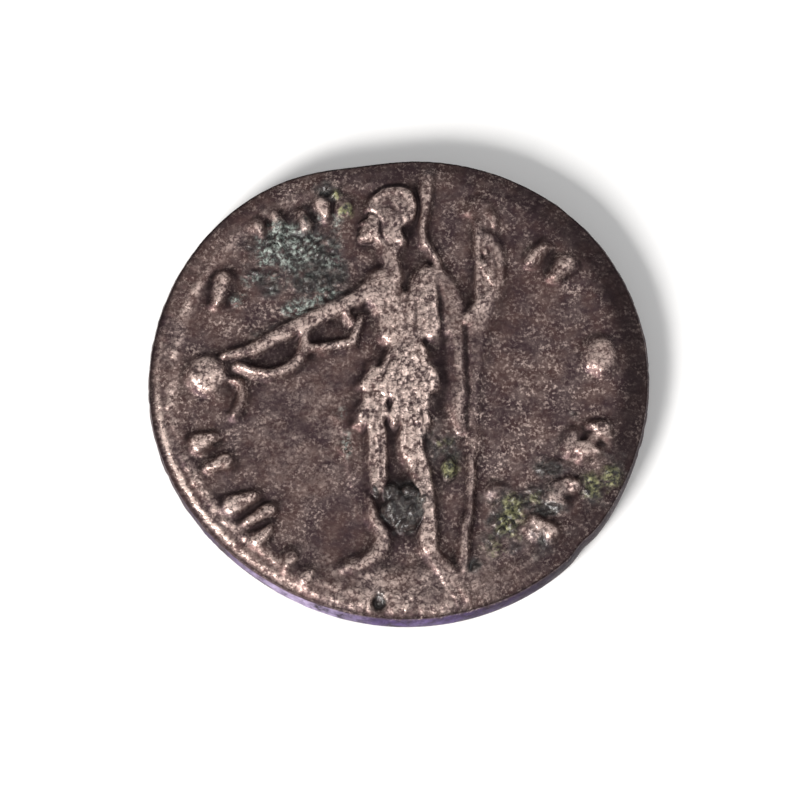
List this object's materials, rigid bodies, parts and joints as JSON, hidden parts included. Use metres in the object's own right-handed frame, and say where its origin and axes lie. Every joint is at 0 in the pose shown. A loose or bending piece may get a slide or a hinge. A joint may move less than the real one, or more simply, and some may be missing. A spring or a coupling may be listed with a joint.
{
  "type": "denarius coin",
  "caption": "Worn hammered silver coin with a helmeted figure in relief on its upper face and a laureate head below, lying flat on its underside.",
  "frame": {"origin": "centre of the coin's outline, on the plane that it lies on", "axes": "+Z out of the upper face, +Y towards the figure's head, +X to the right of the figure as seen, along the coin's longer way"},
  "size_m": [0.0186, 0.0178, 0.0017],
  "materials": {
    "silver": "dark brown-grey toned silver, worn bright on the high relief, with blue-green and yellow-green deposits"
  },
  "bodies": {
    "root": {"coin": "silver"}
  },
  "joints": []
}
